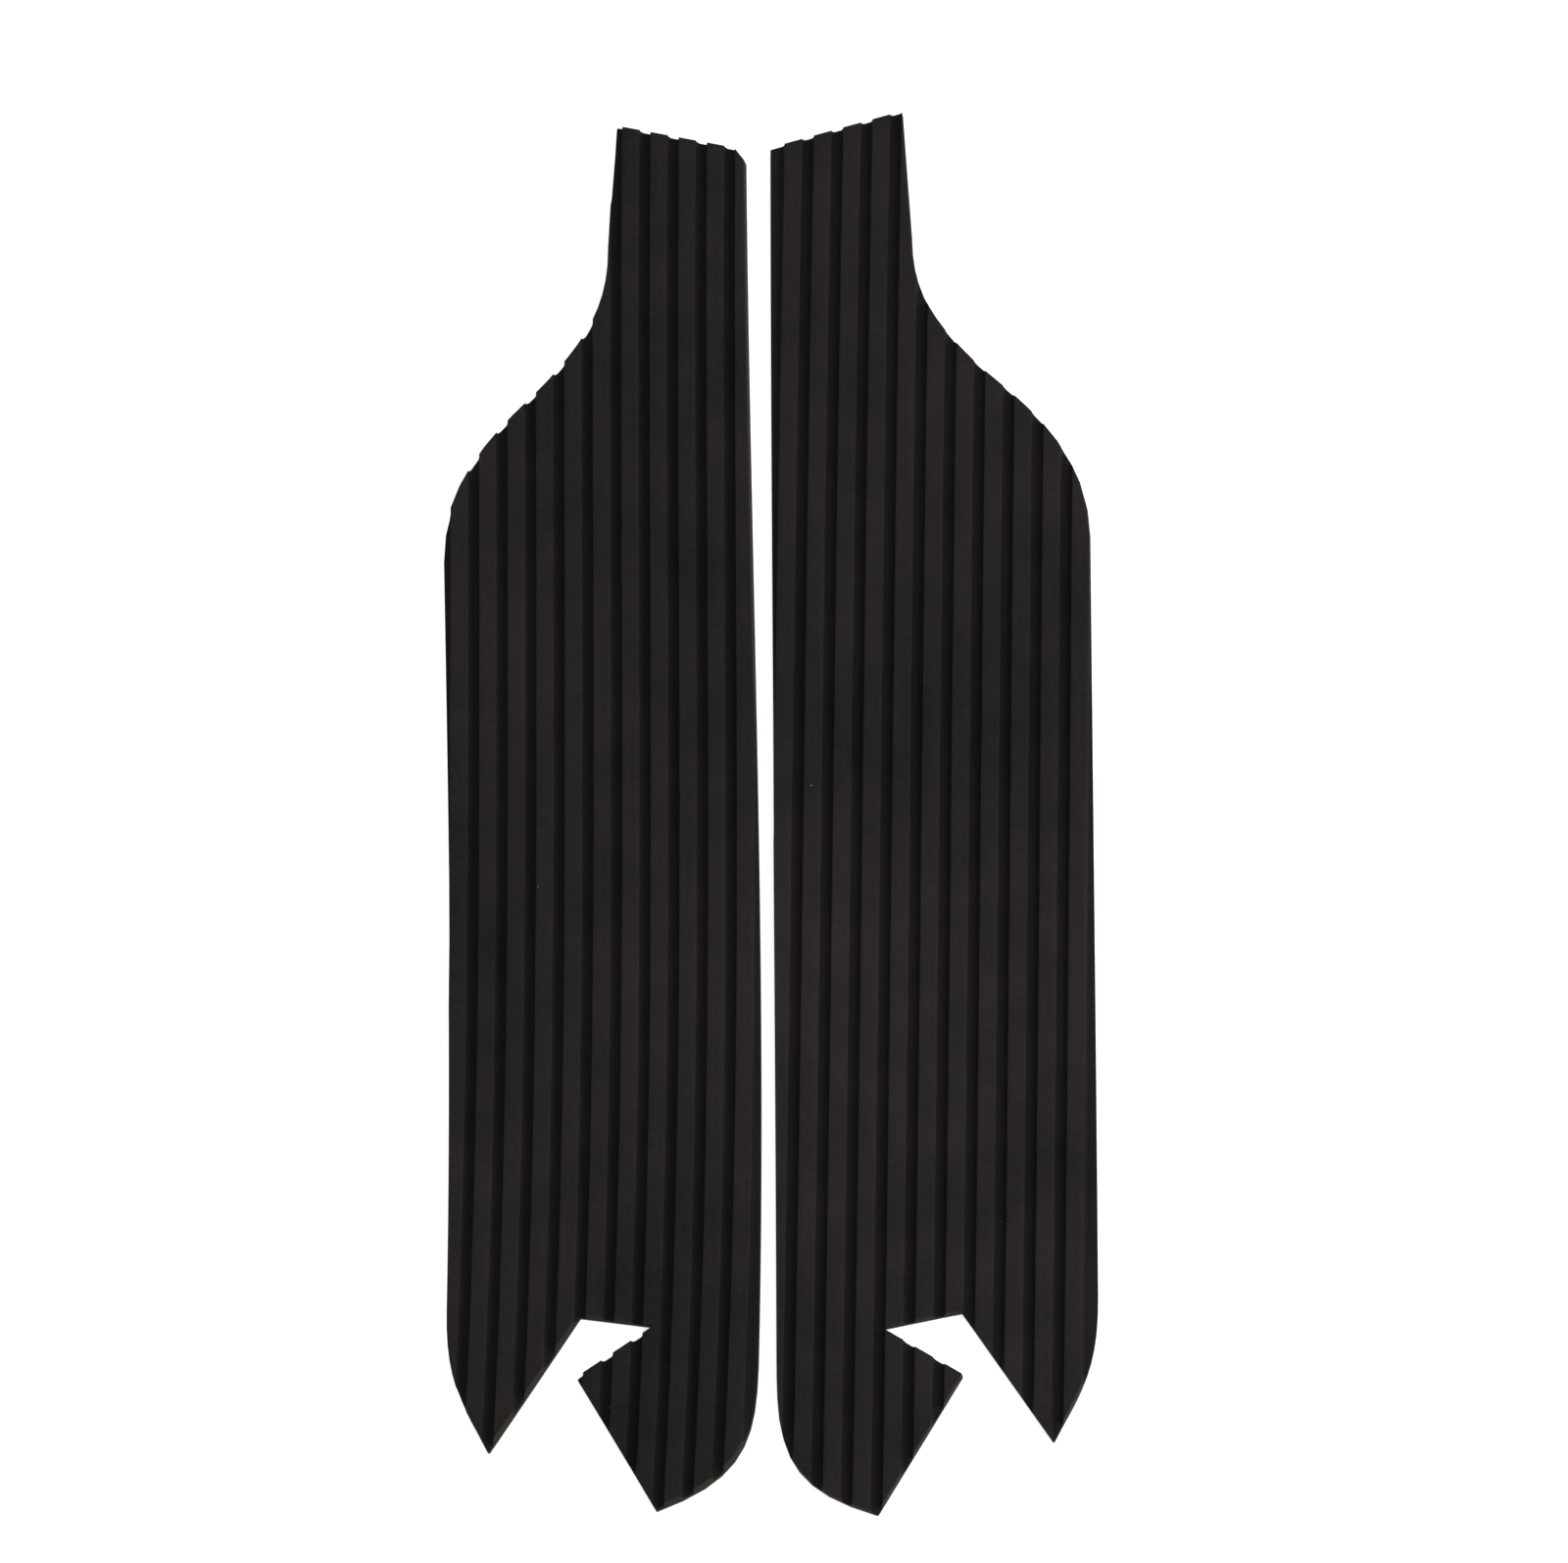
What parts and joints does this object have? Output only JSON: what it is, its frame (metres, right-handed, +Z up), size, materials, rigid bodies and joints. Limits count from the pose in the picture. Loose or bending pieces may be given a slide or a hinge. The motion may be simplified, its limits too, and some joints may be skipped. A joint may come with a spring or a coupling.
{
  "type": "ribbed foam traction mats",
  "caption": "Left and right peel-and-stick foam grip mats with lengthwise ribs, a narrow neck, a shoulder and a darted tail, lying face up on their paper liners.",
  "frame": {"origin": "on the floor, midway between the two mats and at half their length", "axes": "+X to the right-hand mat, +Y towards the necks, +Z up out of the ribs"},
  "size_m": [0.4058, 0.921, 0.0077],
  "materials": {
    "rib_foam": "matte black closed-cell foam with a fine brushed grain",
    "base_foam": "matte black closed-cell foam, routed",
    "adhesive_film": "tacky clear acrylic with an amber tint",
    "liner_paper": "siliconed kraft paper"
  },
  "bodies": {
    "release_liners": {"left_release_liner": "liner_paper", "right_release_liner": "liner_paper"},
    "left_mat": {"left_adhesive_film": "adhesive_film", "left_base_sheet": "base_foam", "left_rib_01": "rib_foam", "left_rib_02": "rib_foam", "left_rib_03": "rib_foam", "left_rib_04": "rib_foam", "left_rib_05": "rib_foam", "left_rib_05_tail": "rib_foam", "left_rib_06": "rib_foam", "left_rib_06_tail": "rib_foam", "left_rib_07": "rib_foam", "left_rib_08": "rib_foam", "left_rib_09": "rib_foam", "left_rib_10": "rib_foam", "left_rib_11": "rib_foam"},
    "right_mat": {"right_adhesive_film": "adhesive_film", "right_base_sheet": "base_foam", "right_rib_01": "rib_foam", "right_rib_02": "rib_foam", "right_rib_03": "rib_foam", "right_rib_04": "rib_foam", "right_rib_05": "rib_foam", "right_rib_05_tail": "rib_foam", "right_rib_06": "rib_foam", "right_rib_06_tail": "rib_foam", "right_rib_07": "rib_foam", "right_rib_07_tail": "rib_foam", "right_rib_08": "rib_foam", "right_rib_09": "rib_foam", "right_rib_10": "rib_foam", "right_rib_11": "rib_foam"}
  },
  "joints": [
    {"name": "left_mat_lift", "type": "slide", "parent": "release_liners", "child": "left_mat", "axis": [0, 0, 1], "range_m": [0, 0.15]},
    {"name": "right_mat_lift", "type": "slide", "parent": "release_liners", "child": "right_mat", "axis": [0, 0, 1], "range_m": [0, 0.15]}
  ]
}
